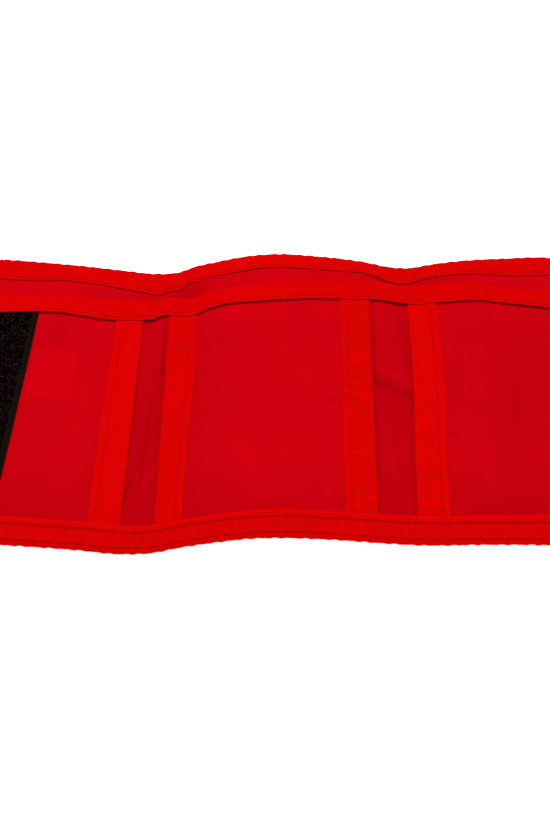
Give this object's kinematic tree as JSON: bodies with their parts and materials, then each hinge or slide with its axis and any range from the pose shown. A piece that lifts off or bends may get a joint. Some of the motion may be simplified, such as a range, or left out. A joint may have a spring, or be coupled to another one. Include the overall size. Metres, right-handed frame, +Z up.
{
  "type": "folding pocket band",
  "caption": "Soft cloth band, folding between panels, with a row of open-topped bellows pockets bound in ribbed tape and a hook-and-loop closure at its ends.",
  "frame": {"origin": "under the middle of the band, on the surface it lies on", "axes": "+X along the band, +Y from the closed bottom edge to the open top edge, +Z up out of the pocket side"},
  "size_m": [0.394, 0.125, 0.0148],
  "materials": {
    "cloth": "plain woven nylon",
    "gusset": "plain woven nylon",
    "tape": "ribbed tape",
    "loop": "fuzzy loop pile",
    "hook": "stiff hook pile",
    "label": "plain"
  },
  "bodies": {
    "panel_1": {"back_panel_1": "cloth", "top_binding_1": "tape", "bottom_binding_1": "tape", "end_binding_left": "tape", "gusset_1_right": "gusset"},
    "front_1": {"pocket_front_1": "cloth", "mouth_binding_1": "tape", "edge_tape_1_right": "tape", "mouth_bridge_1": "tape", "loop_strip": "loop", "pocket_label": "label"},
    "panel_2": {"back_panel_2": "cloth", "top_binding_2": "tape", "bottom_binding_2": "tape", "gusset_2_left": "gusset", "gusset_2_right": "gusset"},
    "front_2": {"pocket_front_2": "cloth", "mouth_binding_2": "tape", "edge_tape_2_left": "tape", "edge_tape_2_right": "tape", "mouth_bridge_2": "tape"},
    "panel_3": {"back_panel_3": "cloth", "top_binding_3": "tape", "bottom_binding_3": "tape", "gusset_3_left": "gusset", "gusset_3_right": "gusset"},
    "front_3": {"pocket_front_3": "cloth", "mouth_binding_3": "tape", "edge_tape_3_left": "tape", "edge_tape_3_right": "tape", "mouth_bridge_3": "tape"},
    "panel_4": {"back_panel_4": "cloth", "top_binding_4": "tape", "bottom_binding_4": "tape", "gusset_4_left": "gusset", "gusset_4_right": "gusset"},
    "front_4": {"pocket_front_4": "cloth", "mouth_binding_4": "tape", "edge_tape_4_left": "tape", "edge_tape_4_right": "tape", "mouth_bridge_4": "tape"},
    "panel_5": {"back_panel_5": "cloth", "top_binding_5": "tape", "bottom_binding_5": "tape", "gusset_5_left": "gusset", "end_binding_right": "tape", "hook_strip": "hook"},
    "front_5": {"pocket_front_5": "cloth", "mouth_binding_5": "tape", "edge_tape_5_left": "tape"}
  },
  "joints": [
    {"name": "fold_2_3", "type": "hinge", "parent": "panel_3", "child": "panel_2", "pos_m": [-0.04, 0, 0.00085], "axis": [0, -1, 0], "range_deg": [-50, 66], "deforming": ["mouth_bridge_2"]},
    {"name": "fold_1_2", "type": "hinge", "parent": "panel_2", "child": "panel_1", "pos_m": [-0.12, 0, 0.00085], "axis": [0, -1, 0], "range_deg": [-50, 66], "deforming": ["mouth_bridge_1"]},
    {"name": "fold_3_4", "type": "hinge", "parent": "panel_3", "child": "panel_4", "pos_m": [0.04, 0, 0.00085], "axis": [0, 1, 0], "range_deg": [-50, 66], "deforming": ["mouth_bridge_3"]},
    {"name": "fold_4_5", "type": "hinge", "parent": "panel_4", "child": "panel_5", "pos_m": [0.12, 0, 0.00085], "axis": [0, 1, 0], "range_deg": [-50, 66], "deforming": ["mouth_bridge_4"]},
    {"name": "mouth_1", "type": "hinge", "parent": "panel_1", "child": "front_1", "pos_m": [-0.16, -0.052, 0.0054], "axis": [1, 0, 0], "range_deg": [0, 10]},
    {"name": "mouth_2", "type": "hinge", "parent": "panel_2", "child": "front_2", "pos_m": [-0.08, -0.052, 0.0054], "axis": [1, 0, 0], "range_deg": [0, 10]},
    {"name": "mouth_3", "type": "hinge", "parent": "panel_3", "child": "front_3", "pos_m": [0, -0.052, 0.0054], "axis": [1, 0, 0], "range_deg": [0, 10]},
    {"name": "mouth_4", "type": "hinge", "parent": "panel_4", "child": "front_4", "pos_m": [0.08, -0.052, 0.0054], "axis": [1, 0, 0], "range_deg": [0, 10]},
    {"name": "mouth_5", "type": "hinge", "parent": "panel_5", "child": "front_5", "pos_m": [0.16, -0.052, 0.0054], "axis": [1, 0, 0], "range_deg": [0, 10]}
  ]
}
